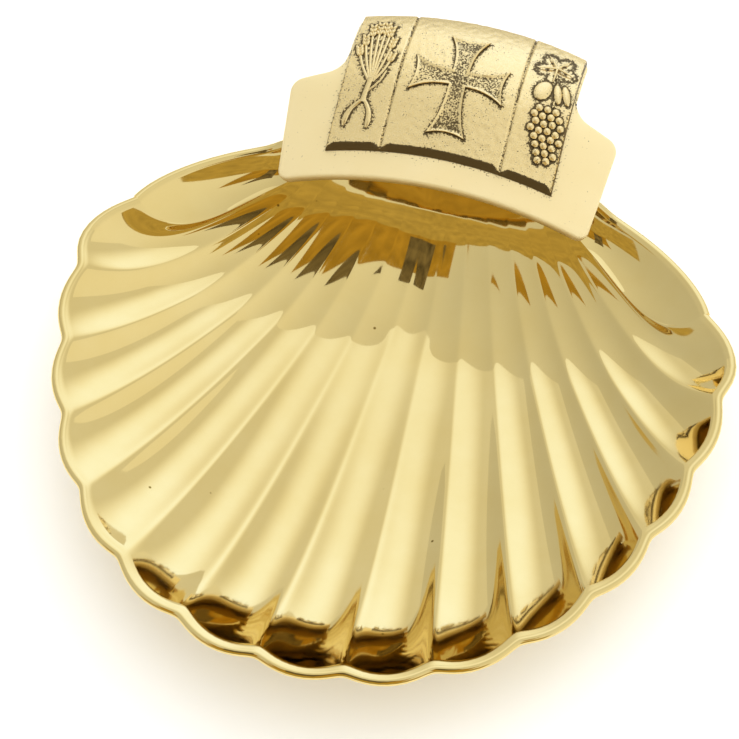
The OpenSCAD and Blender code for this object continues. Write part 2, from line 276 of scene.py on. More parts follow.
def satin_brass():
    finish, tree = new_finish("satin_cast_brass")
    place = put(tree, "ShaderNodeTexCoord").outputs["Object"]
    sheltered = put(tree, "ShaderNodeAttribute", attribute_name="sheltered").outputs["Fac"]
    underside = put(tree, "ShaderNodeAttribute", attribute_name="underside").outputs["Fac"]
    along = put(tree, "ShaderNodeMapping", {"Vector": place, "Scale": (1/RUB_LENGTH, 1, 1)})
    rub = put(tree, "ShaderNodeTexNoise",
              {"Vector": along.outputs["Vector"], "Scale": 1/(RUB_MM*MM), "Detail": 2}).outputs["Fac"]
    cloud = put(tree, "ShaderNodeTexNoise", {"Vector": place, "Scale": 1/(CLOUD_MM*MM), "Detail": 3})
    tint = put(tree, "ShaderNodeMix", {"Factor": cloud.outputs["Fac"], "A": linear("#F7E4AC"),
                                       "B": linear("#FCECBC")}, data_type="RGBA")
    pores = put(tree, "ShaderNodeTexNoise", {"Vector": place, "Scale": 1/(PORE_MM*MM), "Detail": 2})
    crowd = put(tree, "ShaderNodeMath", {0: sheltered, 1: SHELTER_WEIGHT, 2: pores.outputs["Fac"]},
                operation="MULTIPLY_ADD")
    pore = put(tree, "ShaderNodeMapRange", {"Value": crowd.outputs[0], "From Min": PORE_START,
                                            "From Max": PORE_FULL, "To Max": PORE_DARKNESS})
    rubbed = put(tree, "ShaderNodeMix",
                 {"Factor": pore.outputs["Result"], "A": tint.outputs["Result"], "B": linear("#5C4820")},
                 data_type="RGBA")
    # The underside's bare skin colours are painted paler, as painted fill light for the light the bowl
    # throws up under the plate
    skin = put(tree, "ShaderNodeTexNoise", {"Vector": place, "Scale": 1/(SKIN_MM*MM), "Detail": 3})
    skin_with_painted_fill = put(tree, "ShaderNodeMix", {"Factor": skin.outputs["Fac"], "A": linear("#CCC094"),
                                      "B": linear("#E2D6AA")}, data_type="RGBA")
    colour = put(tree, "ShaderNodeMix",
                 {"Factor": underside, "A": rubbed.outputs["Result"], "B": skin_with_painted_fill.outputs["Result"]},
                 data_type="RGBA")
    rough = put(tree, "ShaderNodeMapRange", {"Value": rub, "To Min": RUBBED_ROUGHNESS,
                                             "To Max": DULL_ROUGHNESS})
    lines = put(tree, "ShaderNodeBump", {"Height": rub, "Strength": RUB_BUMP, "Distance": RUB_DEPTH_MM*MM})
    bare = put(tree, "ShaderNodeMapRange", {"Value": underside, "To Min": SATIN_METALLIC, "To Max": 1})
    metal = put(tree, "ShaderNodeBsdfPrincipled",
                {"Base Color": colour.outputs["Result"], "Metallic": bare.outputs["Result"],
                 "Roughness": rough.outputs["Result"], "Normal": lines.outputs["Normal"]})
    put(tree, "ShaderNodeOutputMaterial", {"Surface": metal.outputs["BSDF"]})
    return finish


satin = satin_brass()
print("made", satin.name)

# %% [markdown]
# The relief keeps the skin of its sand mould. It was darkened with a liver of sulphur wash and rubbed
# bright again, so the high places shine and the patina stays in the hollows, along every outline and in
# the grains. Each mesh carries an attribute, hollow, that says how sheltered a place is.

# %% Antiqued sand-cast brass
GRIT_MM = 0.3
GRIT_DEPTH_MM = 0.05
GRIT_BUMP = 0.4
SPECK_MM = 0.3
STAIN_MM = 5
STAIN_WEIGHT = 0.24
HOLLOW_WEIGHT = 0.55
PATINA_START = 0.76
PATINA_FULL = 0.83
PATINA_DARKNESS = 0.95
BRIGHT_ROUGHNESS = 0.27
PATINA_ROUGHNESS = 0.5
# The panel is rubbed brighter than the plate round it
PANEL_METALLIC = 0.85


def antiqued_brass():
    finish, tree = new_finish("antiqued_sand_cast_brass")
    place = put(tree, "ShaderNodeTexCoord").outputs["Object"]
    hollow = put(tree, "ShaderNodeAttribute", attribute_name="hollow").outputs["Fac"]
    grit = put(tree, "ShaderNodeTexNoise",
               {"Vector": place, "Scale": 1/(GRIT_MM*MM), "Detail": 2, "Roughness": 0.6}).outputs["Fac"]
    speck = put(tree, "ShaderNodeTexNoise",
                {"Vector": place, "Scale": 1/(SPECK_MM*MM), "Detail": 2, "Roughness": 0.6,
                 "Lacunarity": 2.3})
    stain = put(tree, "ShaderNodeTexNoise", {"Vector": place, "Scale": 1/(STAIN_MM*MM), "Detail": 3})
    stained = put(tree, "ShaderNodeMath",
                  {0: stain.outputs["Fac"], 1: STAIN_WEIGHT, 2: speck.outputs["Fac"]},
                  operation="MULTIPLY_ADD")
    crowd = put(tree, "ShaderNodeMath", {0: hollow, 1: HOLLOW_WEIGHT, 2: stained.outputs[0]},
                operation="MULTIPLY_ADD")
    patina = put(tree, "ShaderNodeMapRange",
                 {"Value": crowd.outputs[0], "From Min": PATINA_START, "From Max": PATINA_FULL,
                  "To Max": PATINA_DARKNESS}).outputs["Result"]
    tint = put(tree, "ShaderNodeMix", {"Factor": grit, "A": linear("#EACC84"), "B": linear("#FFEEBA")},
               data_type="RGBA")
    colour = put(tree, "ShaderNodeMix",
                 {"Factor": patina, "A": tint.outputs["Result"], "B": linear("#54452A")}, data_type="RGBA")
    rough = put(tree, "ShaderNodeMapRange", {"Value": patina, "To Min": BRIGHT_ROUGHNESS,
                                             "To Max": PATINA_ROUGHNESS})
    skin = put(tree, "ShaderNodeBump",
               {"Height": grit, "Strength": GRIT_BUMP, "Distance": GRIT_DEPTH_MM*MM})
    metal = put(tree, "ShaderNodeBsdfPrincipled",
                {"Base Color": colour.outputs["Result"], "Metallic": PANEL_METALLIC,
                 "Roughness": rough.outputs["Result"], "Normal": skin.outputs["Normal"]})
    put(tree, "ShaderNodeOutputMaterial", {"Surface": metal.outputs["BSDF"]})
    return finish


antiqued = antiqued_brass()
print("made", antiqued.name)

# %% [markdown]
# Brazing metal flows from a rod into the joint and is left as it sets, only brushed clean of flux. It
# is redder and duller than the shell.

# %% Brazing metal
BEAD_MM = 1.6
BEAD_DEPTH_MM = 0.15
BEAD_BUMP = 0.3
BRAZE_ROUGHNESS = 0.42


def brazing_metal():
    finish, tree = new_finish("brushed_brazing_metal")
    place = put(tree, "ShaderNodeTexCoord").outputs["Object"]
    flow = put(tree, "ShaderNodeTexNoise",
               {"Vector": place, "Scale": 1/(BEAD_MM*MM), "Detail": 3}).outputs["Fac"]
    tint = put(tree, "ShaderNodeMix", {"Factor": flow, "A": linear("#A8823E"), "B": linear("#D2B067")},
               data_type="RGBA")
    bump = put(tree, "ShaderNodeBump",
               {"Height": flow, "Strength": BEAD_BUMP, "Distance": BEAD_DEPTH_MM*MM})
    metal = put(tree, "ShaderNodeBsdfPrincipled",
                {"Base Color": tint.outputs["Result"], "Metallic": 1, "Roughness": BRAZE_ROUGHNESS,
                 "Normal": bump.outputs["Normal"]})
    put(tree, "ShaderNodeOutputMaterial", {"Surface": metal.outputs["BSDF"]})
    return finish


braze = brazing_metal()
print("made", braze.name)

# %% [markdown]
# A mesh is modelled in millimetres and scaled to metres when it is done. The last step is the same for
# every piece: merge, turn the normals outwards, smooth, keep sharp edges sharp, give it its finish, hang
# it on the root body and hide the imported node that it stands for, if there is one.

# %% Finish a piece
MERGE_MM = 0.002


def make_piece(bm, name, finish, node=None, crease=35):
    bmesh.ops.remove_doubles(bm, verts=bm.verts, dist=MERGE_MM)
    bmesh.ops.recalc_face_normals(bm, faces=bm.faces)
    bmesh.ops.scale(bm, vec=(MM, MM, MM), verts=bm.verts)
    for face in bm.faces:
        face.smooth = True
    for edge in bm.edges:
        edge.smooth = edge.calc_face_angle(0) < math.radians(crease)
    mesh = bpy.data.meshes.new(name)
    bm.to_mesh(mesh)
    bm.free()
    piece = bpy.data.objects.new(name, mesh)
    scene.collection.objects.link(piece)
    mesh.materials.append(finish)
    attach(piece, "root")
    if node:
        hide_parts(node)
    print(name, len(mesh.polygons), "faces")


def wrap_sheet(columns, rows, place):
    """A grid of cells, each of whose vertices goes to the place of its column and row."""
    bm = bmesh.new()
    bmesh.ops.create_grid(bm, x_segments=columns, y_segments=rows, size=0.5)
    for vertex in bm.verts:
        vertex.co = place(round((vertex.co.x + 0.5)*columns), round((vertex.co.y + 0.5)*rows))
    return bm


print("points closer than", MERGE_MM, "mm are merged")

# %% [markdown]
# The fluted bowl is the piece that takes the most skill. Cutting flutes out of a smooth bowl leaves a
# mesh that mirrors badly. Here one grid is wrapped round the whole section instead: its columns follow
# the flutes, and its rows run from the hinge up the inside, over the lip and down the outside again.

# %% Outline and depth of the bowl
def share(x, y):
    """Distance from the lowest place, as a share of the way to the rim."""
    power, reach = (FRONT_FULLNESS, INNER_FRONT) if y < 0 else (BACK_FULLNESS, INNER_BACK)
    return ((abs(x)/INNER_HALF_WIDTH)**power + (abs(y)/reach)**power)**(1/power)


def plate_under(x, y):
    """Height of the thumb plate's underside, on its straight part."""
    radius = ARCH_RADIUS + (y - PLATE_EDGE_Y)*math.tan(PLATE_SLOPE) - UNDER_DROP
    return ARCH_Z + math.sqrt(max(0, radius**2 - x*x))


def rim_level(x, y):
    """Height of the rim: level, but lifted in a soft bend at the back to meet the thumb plate."""
    out = 1 + LIP_WIDTH/max(0.01, math.hypot(x, y))
    ceiling = min(plate_under(x, y), plate_under(out*x, out*y))
    above = ceiling - BRAZE_GAP - LIP_HEIGHT - RIM_HEIGHT
    return RIM_HEIGHT + (above + math.hypot(above, LIFT_BLEND))/2


def ease(t):
    t = min(1, max(0, t))
    return t*t*(3 - 2*t)


def bowl_height(x, y):
    reach = share(x, y)
    endways = abs(y)/max(0.01, math.hypot(x, y))
    end_rise = FRONT_RISE if y < 0 else BACK_RISE
    rise = SIDE_RISE + (end_rise - SIDE_RISE)*endways**RISE_FOCUS
    lift = rim_level(x, y) - RIM_HEIGHT
    return FLOOR_HEIGHT + BOWL_DEPTH*reach**rise + lift*ease((reach - LIFT_START)/(1 - LIFT_START))


print("bowl floor", FLOOR_HEIGHT, "and back of the rim", round(rim_level(0, INNER_BACK), 2), "mm high")

# %% Run of the flutes
RIDGE_ROUND = 0.07
STEP = 0.01


def flute_angle(u):
    side = abs(u)
    t = side/LAST_NOTCH
    if side <= LAST_NOTCH:
        angle = END_NOTCH_ANGLE*t*(1 - FLUTE_WIDENING + FLUTE_WIDENING*t*t)
    else:
        angle = END_NOTCH_ANGLE + (180 - END_NOTCH_ANGLE)*(side - LAST_NOTCH)**END_LOBE_LEAN
    return math.copysign(math.radians(angle), u)


def flute_share(u):
    """1 along the middle of a flute and near 0 on its ridges, which are a little rounded."""
    from_ridge = math.hypot(0.5 - abs(u - round(u)), RIDGE_ROUND)
    return 1 - (1 - 2*min(0.5, from_ridge))**2


def rim_point(u):
    angle = flute_angle(u)
    way = Vector((math.sin(angle), -math.cos(angle)))
    bulge = END_LOBE_BULGE if abs(u) > LAST_NOTCH else LOBE_BULGE
    return way*(1/share(way.x, way.y) + bulge*flute_share(u))


def hinge_part(u):
    """How far out along the hinge a flute starts, from 0 in the middle to 1 at its ends."""
    side = abs(u)
    return side/LAST_NOTCH if side <= LAST_NOTCH else LAST_FLUTE - side


def hinge_point(u):
    """Start of a flute on the hinge, a line under the plate that follows the back of the rim."""
    x = HINGE_HALF_WIDTH*hinge_part(u)
    left_over = HINGE_SHARE**BACK_FULLNESS - (x/INNER_HALF_WIDTH)**BACK_FULLNESS
    return Vector((math.copysign(x, u), INNER_BACK*left_over**(1/BACK_FULLNESS)))


def swell(t, lag):
    """0 at both ends of a run and 1 where it is most, later for a greater lag."""
    return t**lag*(1 - t)*(lag + 1)**(lag + 1)/lag**lag


def flute_lag(u):
    """The middle flutes fade out sooner towards the hinge than the side flutes do."""
    return MIDDLE_LAG + (SIDE_LAG - MIDDLE_LAG)*ease(abs(u)/SIDE_FLUTE)


def inside(u, t):
    """A point of the inside, from the hinge at t = 0 to the rim at t = 1."""
    rim = rim_point(u)
    p = hinge_point(u).lerp(rim, t)
    p.y -= FLUTE_SWEEP*hinge_part(u)**SWEEP_FOCUS*swell(t, SWEEP_LAG)
    excess = bowl_height(rim.x, rim.y) - rim_level(rim.x, rim.y)
    sink = excess*t + FLUTE_DEPTH*flute_share(u)*swell(t, flute_lag(u))
    return Vector((p.x, p.y, bowl_height(p.x, p.y) - sink))


def outside(p):
    """The point under an inside point, one wall away and ground flat on the belly."""
    slope_x = (bowl_height(p.x + STEP, p.y) - bowl_height(p.x - STEP, p.y))/(2*STEP)
    slope_y = (bowl_height(p.x, p.y + STEP) - bowl_height(p.x, p.y - STEP))/(2*STEP)
    q = p + WALL*Vector((slope_x, slope_y, -1)).normalized()
    return Vector((q.x, q.y, max(0, q.z)))


print("middle lobe reaches", round(-rim_point(0).y, 1), "mm to the front")

# %% Rounded lip
LIP_STEPS = 10
LIP_START = math.radians(142)
LIP_END = math.radians(-52)
LIP_ROUND = 0.65


def lip_way(p):
    """Direction straight out from the rim, seen from above."""
    across = share(p.x + STEP, p.y) - share(p.x - STEP, p.y)
    along = share(p.x, p.y + STEP) - share(p.x, p.y - STEP)
    return Vector((across, along, 0)).normalized()


def lip(p):
    """Points over the lip, from the inside of the rim to its outside."""
    way = lip_way(p)
    points = []
    for step in range(LIP_STEPS + 1):
        turn = LIP_START + (LIP_END - LIP_START)*step/LIP_STEPS
        out = LIP_WIDTH/2*(1 + math.cos(turn))
        up = LIP_HEIGHT - LIP_ROUND*(1 - math.sin(turn))
        points.append(p + out*way + Vector((0, 0, up)))
    return points


print("lip has", LIP_STEPS + 1, "rows")

# %% Wrap the grid round the section
FLUTE_STEPS = 16
INSIDE_ROWS = 72
OUTSIDE_ROWS = 36
CROWDING = 0.6


def flute_places():
    """Places round the rim, once round from the back, crowded together near the ridges.

    A broad lobe has one place for each place of the flutes on its side, so both meet along the hinge.
    """
    flutes = []
    for flute in range(LOBES - 2):
        for step in range(FLUTE_STEPS):
            s = step/FLUTE_STEPS
            flutes.append(flute - LAST_NOTCH + s - CROWDING/math.tau*math.sin(math.tau*s))
    right = [LAST_FLUTE - u/LAST_NOTCH for u in reversed(flutes) if u > -STEP]
    return [-u for u in reversed(right)] + flutes + [LAST_NOTCH] + right


def shell_section(u):
    up = [inside(u, row/INSIDE_ROWS) for row in range(INSIDE_ROWS + 1)]
    down = [outside(inside(u, 1 - row/OUTSIDE_ROWS)) for row in range(OUTSIDE_ROWS + 1)]
    return up + lip(up[-1]) + down


sections = [shell_section(u) for u in flute_places()]
bm = wrap_sheet(len(sections) - 1, len(sections[0]) - 1, lambda column, row: sections[column][row])
make_piece(bm, "fluted_bowl", buffed, "shell_bowl", crease=60)

# %% [markdown]
# The thumb plate starts as a flat blank, the way a pattern maker would cut it from sheet wax. Its
# corners are rounded, it is given its thickness and soft edges, and then it is sliced finely enough to
# be bent over the arch and the curl.

# %% Bend a flat point on to the plate
def plate_profile(y):
    """Radius of the plate's top face about the line of its arch, and its slope."""
    if y < STRAIGHT_Y:
        return ARCH_RADIUS + (y - PLATE_EDGE_Y)*math.tan(PLATE_SLOPE), math.tan(PLATE_SLOPE)
    rise = math.sqrt(CURL_RADIUS**2 - (y - CURL_Y)**2)
    return CURL_R + rise, -(y - CURL_Y)/rise


def on_plate(flat):
    radius, slope = plate_profile(flat.y)
    up = math.sqrt(radius**2 - flat.x**2)
    normal = Vector((flat.x/radius, -slope, up/radius)).normalized()
    return Vector((flat.x, flat.y, ARCH_Z + up)) + flat.z*normal


def slice_up(bm, step):
    """Cut a flat piece into strips both ways, so that it can bend."""
    for axis in (0, 1):
        spread = [v.co[axis] for v in bm.verts]
        cuts = int((max(spread) - min(spread))/step)
        for cut in range(1, cuts + 1):
            middle, way = Vector(), Vector()
            middle[axis] = min(spread) + cut*step - step/3
            way[axis] = 1
            whole = bm.verts[:] + bm.edges[:] + bm.faces[:]
            bmesh.ops.bisect_plane(bm, geom=whole, dist=0.001, plane_co=middle, plane_no=way)


print("tongue ends", round(PLATE_END_Y, 1), "mm behind the origin")

# %% Outline of the relief panel
PANEL_INSET = 0.5
PANEL_SETBACK = 5.6
PANEL_BOW = 1.2
PANEL_HALF = TONGUE_WIDTH/2 - PANEL_INSET
PANEL_LOW = PLATE_EDGE_Y + PANEL_SETBACK
PANEL_END = PLATE_END_Y - TONGUE_BOW - PANEL_INSET


def panel_edges(x):
    """The panel's lower edge and its far edge, which both bow out in the middle."""
    round_off = 1 - (x/PANEL_HALF)**2
    return PANEL_LOW + PANEL_BOW*round_off, PANEL_END + TONGUE_BOW*round_off


print("panel is", 2*PANEL_HALF, "mm wide")

# %% Blank of the thumb plate
SPECK_REACH = 1.2
SKIN_START = 0.4
SKIN_HALF = 29
SKIN_FADE = 5
CORNER_RADIUS = 2.0
NOOK_RADIUS = 3.0
EDGE_ROUND = 0.7
END_CUTS = 15
BEND_STEP = 0.8


def soften(bm, edges, width, segments):
    bmesh.ops.bevel(bm, geom=edges, offset=width, offset_type="OFFSET", affect="EDGES", segments=segments,
                    profile=0.5, material=-1, clamp_overlap=True)


def plate_blank():
    bm = bmesh.new()
    right = [
        (WING_WIDTH/2, PLATE_EDGE_Y),
        (WING_WIDTH/2 + WING_FLARE, SHOULDER_Y - SHOULDER_DROP/2),
        (TONGUE_WIDTH/2, SHOULDER_Y + SHOULDER_DROP/2),
        (TONGUE_WIDTH/2, PLATE_END_Y - TONGUE_BOW),
    ]
    outline = right + [(-x, y) for x, y in reversed(right)]
    corners = [bm.verts.new((x, y, 0)) for x, y in outline]
    bm.faces.new(corners)
    ends = [bm.edges.get((corners[3], corners[4])), bm.edges.get((corners[7], corners[0]))]
    cut = bmesh.ops.subdivide_edges(bm, edges=ends, cuts=END_CUTS)
    for vertex in cut["geom_inner"]:
        if isinstance(vertex, bmesh.types.BMVert):
            outer = vertex.co.y > SHOULDER_Y
            width, bow = (TONGUE_WIDTH, TONGUE_BOW) if outer else (WING_WIDTH, INNER_BOW)
            vertex.co.y += bow*(1 - (2*vertex.co.x/width)**2)
    for index, (x, y) in enumerate(outline):
        corner = min(bm.verts, key=lambda v: math.hypot(v.co.x - x, v.co.y - y))
        radius = NOOK_RADIUS if index in (2, 5) else CORNER_RADIUS
        bmesh.ops.bevel(bm, geom=[corner], offset=radius, offset_type="OFFSET", affect="VERTICES",
                        segments=6, profile=0.5, material=-1)
    return bm


bm = plate_blank()
grown = bmesh.ops.extrude_face_region(bm, geom=bm.faces[:], use_keep_orig=True)
under = [v for v in grown["geom"] if isinstance(v, bmesh.types.BMVert)]
bmesh.ops.translate(bm, vec=(0, 0, -PLATE_THICKNESS), verts=under)
bmesh.ops.recalc_face_normals(bm, faces=bm.faces)
soften(bm, [e for e in bm.edges if abs(e.verts[0].co.z - e.verts[1].co.z) < 0.01], EDGE_ROUND, 4)
slice_up(bm, BEND_STEP)
sheltered = bm.verts.layers.float.new("sheltered")
underside = bm.verts.layers.float.new("underside")
for vertex in bm.verts:
    flat = vertex.co.copy()
    before = panel_edges(min(PANEL_HALF, abs(flat.x)))[0] - flat.y
    beside = max(0, abs(flat.x) - PANEL_HALF)
    vertex[sheltered] = max(0, 1 - max(0, before)/SPECK_REACH - beside/SPECK_REACH)
    depth = -flat.z/PLATE_THICKNESS
    vertex[underside] = ease(2*(depth - SKIN_START))*ease((SKIN_HALF - abs(flat.x))/SKIN_FADE)
    vertex.co = on_plate(flat)
make_piece(bm, "thumb_plate", satin, "handle_plate", crease=50)

# %% [markdown]
# The relief is cast in three fields: a sheaf of wheat, a flared cross and a vine with grapes, all old
# church ornament. Each is modelled flat, with heights above the ground of the panel, and bent on to the
# plate last, so it hugs the arch. The carving comes before the panel, because the patina on the
# panel is deepest close to the carving.

# %% Seat the carving on the panel
PANEL_TOP = 1.5
GROUND = 0.9
SUNK = 0.1
HOLLOW_HEIGHT = 0.4
carved = []


def seat_carving(bm, name, shaded=HOLLOW_HEIGHT):
    """Bend a flat carving on to the panel. Polish reaches it from the shaded height upwards."""
    hollow = bm.verts.layers.float.new("hollow")
    for vertex in bm.verts:
        vertex[hollow] = max(0, 1 - max(0, vertex.co.z)/shaded)
        vertex.co.z = min(GROUND + vertex.co.z, PANEL_TOP)
        if vertex.co.z < GROUND + HOLLOW_HEIGHT:
            carved.append(vertex.co.xy.copy())
        vertex.co = on_plate(vertex.co)
    make_piece(bm, name, antiqued, crease=50)


print("carving stands", round(PANEL_TOP - GROUND, 2), "mm above the ground of the panel")

# %% Flared cross
CROSS_CENTRE_Y = 43.0
CROSS_UP = 9.4
CROSS_DOWN = 11.0
CROSS_SIDE = 8.6
CROSS_ROOT = 1.5
CROSS_END = 3.5
CROSS_FLARE = 2.4
CROSS_HEIGHT = 0.6
CROSS_EDGE = 0.6
CROSS_CHANNEL = 0.35
CROSS_BAY = 0.7
CROSS_SOFTNESS = 0.14
CROSS_CUTS = 7


def cross_blank():
    bm = bmesh.new()
    outline = []
    for reach, turn in ((CROSS_SIDE, 0), (CROSS_UP, 1), (CROSS_SIDE, 2), (CROSS_DOWN, 3)):
        for x, y in ((CROSS_ROOT, -CROSS_ROOT), (reach, -CROSS_END), (reach, CROSS_END)):
            outline.append(Matrix.Rotation(turn*math.pi/2, 2) @ Vector((x, y)))
    corners = [bm.verts.new((p.x, p.y, 0)) for p in outline]
    bm.faces.new(corners)
    bmesh.ops.subdivide_edges(bm, edges=bm.edges[:], cuts=CROSS_CUTS)
    for vertex in bm.verts:
        far, near = (0, 1) if abs(vertex.co.x) > abs(vertex.co.y) else (1, 0)
        reach = CROSS_SIDE if far == 0 else CROSS_UP if vertex.co.y > 0 else CROSS_DOWN
        along = (abs(vertex.co[far]) - CROSS_ROOT)/(reach - CROSS_ROOT)
        if along > 0.999:
            bay = CROSS_BAY*(1 - (vertex.co[near]/CROSS_END)**2)
            vertex.co[far] -= math.copysign(bay, vertex.co[far])
        elif along > 0.001:
            half = CROSS_ROOT + (CROSS_END - CROSS_ROOT)*along**CROSS_FLARE
            vertex.co[near] = math.copysign(half, vertex.co[near])
    return bm


bm = cross_blank()
top = bmesh.ops.extrude_face_region(bm, geom=bm.faces[:], use_keep_orig=True)
raised = [v for v in top["geom"] if isinstance(v, bmesh.types.BMVert)]
bmesh.ops.translate(bm, vec=(0, 0, -SUNK), verts=[v for v in bm.verts if v not in set(raised)])
bmesh.ops.translate(bm, vec=(0, 0, CROSS_HEIGHT), verts=raised)
bmesh.ops.recalc_face_normals(bm, faces=bm.faces)
face = max(bm.faces, key=lambda f: f.calc_center_median().z)
bmesh.ops.inset_region(bm, faces=[face], thickness=CROSS_EDGE, depth=-CROSS_CHANNEL, use_even_offset=True)
high = [e for e in bm.edges if min(v.co.z for v in e.verts) > CROSS_HEIGHT - 0.01]
soften(bm, high, CROSS_SOFTNESS, 2)
bmesh.ops.translate(bm, vec=(0, CROSS_CENTRE_Y, 0), verts=bm.verts)
slice_up(bm, BEND_STEP)
seat_carving(bm, "flared_cross")

# %% Bars and beads, for stems, leaves and grains
def bar(bm, path, radii, sides=8, flatten=0.7):
    """A tapering rod along a path of flat points, half round as a cast stem is."""
    points = [Vector(p) for p in path]
    ring = bmesh.ops.create_circle(bm, radius=1, segments=sides)["verts"]
    last = Matrix.Identity(4)
    for step, (point, radius) in enumerate(zip(points, radii)):
        if step:
            edges = {e for v in ring for e in v.link_edges if e.other_vert(v) in ring}
            grown = bmesh.ops.extrude_edge_only(bm, edges=list(edges))
            ring = [v for v in grown["geom"] if isinstance(v, bmesh.types.BMVert)]
        ahead = points[min(step + 1, len(points) - 1)] - points[max(step - 1, 0)]
        turn = ahead.to_track_quat("Z", "Y").to_matrix().to_4x4()
        here = Matrix.Translation(point) @ turn @ Matrix.Diagonal((radius, radius*flatten, radius, 1))
        bmesh.ops.transform(bm, matrix=here @ last.inverted(), verts=ring)
        last = here


def bead(bm, point, size, turn=0, detail=2):
    """A rounded grain or berry of a given half-length, half-width and half-height."""
    place = Matrix.Translation(point) @ Matrix.Rotation(turn, 4, "Z") @ Matrix.Diagonal((*size, 1))
    bmesh.ops.create_icosphere(bm, subdivisions=detail, radius=1, matrix=place)


def bent(start, end, bow, steps=8):
    """Points from start to end, bowed to the left of the way between them."""
    start, end = Vector((*start, 0)), Vector((*end, 0))
    side = Vector((start.y - end.y, end.x - start.x, 0)).normalized()
    return [start.lerp(end, s/steps) + bow*math.sin(math.pi*s/steps)*side for s in range(steps + 1)]


print("bars and beads are ready")

# %% Sheaf of wheat
FOOT_Y = 31.3
WAIST = (-16.1, 36.0)
FORK = (-15.6, 40.6)
STRAW_TIPS = ((-19.4, 47.2), (-18.9, 50.2), (-18.2, 53.2), (-16.9, 54.0), (-15.7, 54.2), (-14.6, 53.4),
              (-13.5, 50.0), (-12.9, 46.2))
STRAW_RADIUS = 0.3
STRAW_SHADE = 0.16
STALK_RADII = (0.62, 0.6, 0.58, 0.56, 0.55, 0.55, 0.56, 0.58, 0.6)
FOOT_RADII = (0.36, 0.38, 0.42, 0.48, 0.54, 0.58, 0.6, 0.5, 0.25)
TWIG_TIP = (-13.2, 42.6)
TWIG_RADIUS = 0.26
GRAINS = 3
GRAIN_SIZE = (0.7, 0.3, 0.34)
GRAIN_SPREAD = 0.36
GRAIN_LIFT = Vector((0, 0, 0.1))
GRAIN_TURN = 0.35


def wheat_ear(bm, root, tip):
    way = (tip - root).normalized()
    side = Vector((-way.y, way.x, 0))
    turn = math.atan2(way.y, way.x)
    for grain in range(GRAINS):
        middle = root.lerp(tip, (grain + 0.5)/GRAINS)
        for hand in (-1, 1):
            bead(bm, middle + hand*GRAIN_SPREAD*side + GRAIN_LIFT, GRAIN_SIZE, turn + hand*GRAIN_TURN)


bm = bmesh.new()
bar(bm, bent(WAIST, FORK, 0.1), STALK_RADII)
for hand in (-1, 1):
    foot = bent((WAIST[0] + hand*0.25, WAIST[1] + 0.4), (WAIST[0] + hand*2.1 - 0.4, FOOT_Y), hand*0.7)
    bar(bm, foot, FOOT_RADII)
for number, tip in enumerate(STRAW_TIPS):
    spread = (number - (len(STRAW_TIPS) - 1)/2)/len(STRAW_TIPS)
    straw = bent((FORK[0] + 0.8*spread, FORK[1] - 0.6), tip, -1.1*spread)
    bar(bm, straw, [STRAW_RADIUS]*(len(straw) - 1) + [0.5*STRAW_RADIUS])
    wheat_ear(bm, straw[-3], straw[-1])
twig = bent((FORK[0], FORK[1] - 2.4), TWIG_TIP, -0.4)
bar(bm, twig, [TWIG_RADIUS]*(len(twig) - 1) + [0.12])
bmesh.ops.holes_fill(bm, edges=bm.edges, sides=0)
seat_carving(bm, "wheat_sheaf", STRAW_SHADE)

# %% Bunch of grapes
GRAPE_TOP = Vector((16.7, 41.3, 0))
GRAPE_LEAN = 0.15
BERRY = 0.76
BERRY_PITCH = 1.52
ROW_PITCH = 1.32
BERRY_FLATTEN = 0.78
BERRY_STAGGER = 0.25
BERRY_WOBBLE = 0.12
BERRY_ROWS = (3, 4, 4, 4, 4, 3, 3, 2)

bm = bmesh.new()
for row, count in enumerate(BERRY_ROWS):
    for i in range(count):
        stagger = BERRY_STAGGER*(-1)**row if count == BERRY_ROWS[row - 1] else 0
        across = (i - (count - 1)/2 + stagger)*BERRY_PITCH + GRAPE_LEAN*row
        along = -ROW_PITCH*row + BERRY_WOBBLE*math.sin(7*row + 3*i)
        bead(bm, GRAPE_TOP + Vector((across, along, 0)), (BERRY, BERRY, BERRY_FLATTEN*BERRY),
             detail=3)
seat_carving(bm, "grape_bunch")

# %% Vine leaf, buds and stem
LEAF_CENTRE = Vector((16.3, 50.6, 0))
LEAF_RADIUS = 3.9
LEAF_LOBES = 5
LEAF_SHADE = 0.28
LEAF_STEPS = ((0.12, 0.36), (0.45, 0.14), (0.5, -0.08))
VEIN_RADII = (0.24, 0.18, 0.08)
STEM_FOOT = (17.4, 42.0)
STEM_TOP = (16.6, 49.0)
STEM_RADIUS = 0.3
# Centre, half-length, half-width and turn in degrees of the buds between leaf and grapes
BUDS = (
    ((15.0, 44.9), 2.3, 1.6, 70),
    ((17.7, 45.0), 2.2, 0.8, 105),
    ((19.2, 45.2), 2.2, 0.75, 110),
)
BUD_HEIGHT = 0.5


def leaf_reach(turn):
    """Reach of a vine leaf's edge: five lobes with small teeth."""
    lobe = abs(math.cos(turn*LEAF_LOBES/2))**0.7
    return LEAF_RADIUS*(0.58 + 0.42*lobe + 0.05*math.sin(turn*LEAF_LOBES*5))


bm = bmesh.new()
rim = bmesh.ops.create_circle(bm, cap_ends=True, radius=1, segments=120)["verts"]
for vertex in rim:
    turn = math.atan2(vertex.co.y, vertex.co.x)
    vertex.co *= leaf_reach(turn + math.pi/2)
blade = bm.faces[:]
bmesh.ops.reverse_faces(bm, faces=blade)
bmesh.ops.translate(bm, vec=(0, 0, -SUNK), verts=bm.verts)
for width, height in LEAF_STEPS:
    bmesh.ops.inset_region(bm, faces=blade, thickness=width, depth=height, use_even_offset=False)
    bm.faces.ensure_lookup_table()
for lobe in range(LEAF_LOBES):
    turn = math.tau*lobe/LEAF_LOBES - math.pi/2
    tip = 0.85*leaf_reach(turn + math.pi/2)*Vector((math.cos(turn), math.sin(turn), 0))
    bar(bm, [(0, 0, 0.4), (0.5*tip.x, 0.5*tip.y, 0.42), (tip.x, tip.y, 0.3)], VEIN_RADII)
